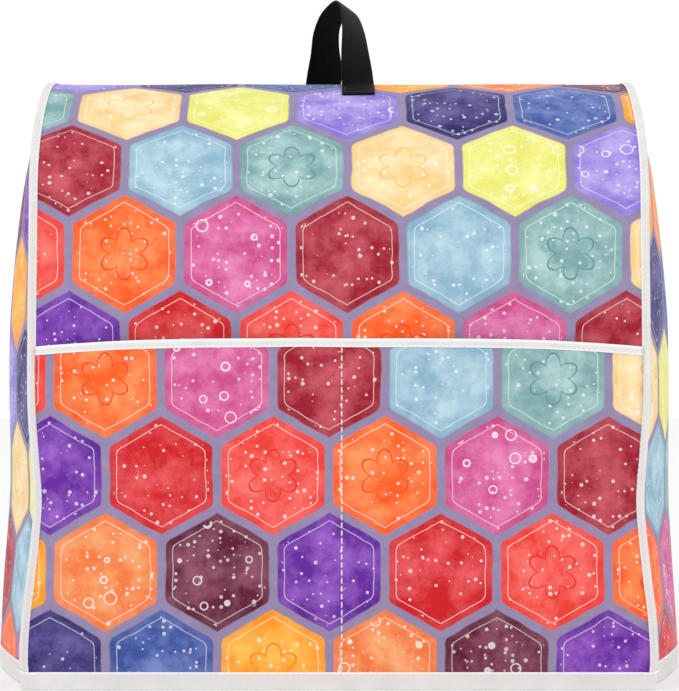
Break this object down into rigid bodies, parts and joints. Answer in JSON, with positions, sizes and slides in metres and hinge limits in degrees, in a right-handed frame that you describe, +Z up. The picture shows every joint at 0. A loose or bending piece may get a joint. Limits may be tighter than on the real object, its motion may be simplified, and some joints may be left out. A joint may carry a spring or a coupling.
{
  "type": "stand mixer dust cover",
  "caption": "Boxy fabric dust cover for a stand mixer, with an arched top, bulged side panels, a divided front pocket, bound raised seams and a webbing loop on top.",
  "frame": {"origin": "on the surface that the hem stands on, in the middle of the cover's outline as seen from above", "axes": "+X to the right as the pocket is faced, -Y out of the pocket side, +Z up"},
  "size_m": [0.4822, 0.2877, 0.4684],
  "materials": {
    "print_cloth": "smooth printed polyester cloth, semi-matte, in many bright colours",
    "white_tape": "off-white woven binding tape, matte",
    "black_webbing": "flat woven black webbing, soft sheen"
  },
  "bodies": {
    "root": {"wrap_panel": "print_cloth", "side_panel_left": "print_cloth", "side_panel_right": "print_cloth", "pocket_panel": "print_cloth", "pocket_binding": "white_tape", "seam_binding_left": "white_tape", "seam_binding_right": "white_tape", "hem_binding": "white_tape", "handle_strap": "black_webbing"}
  },
  "joints": []
}
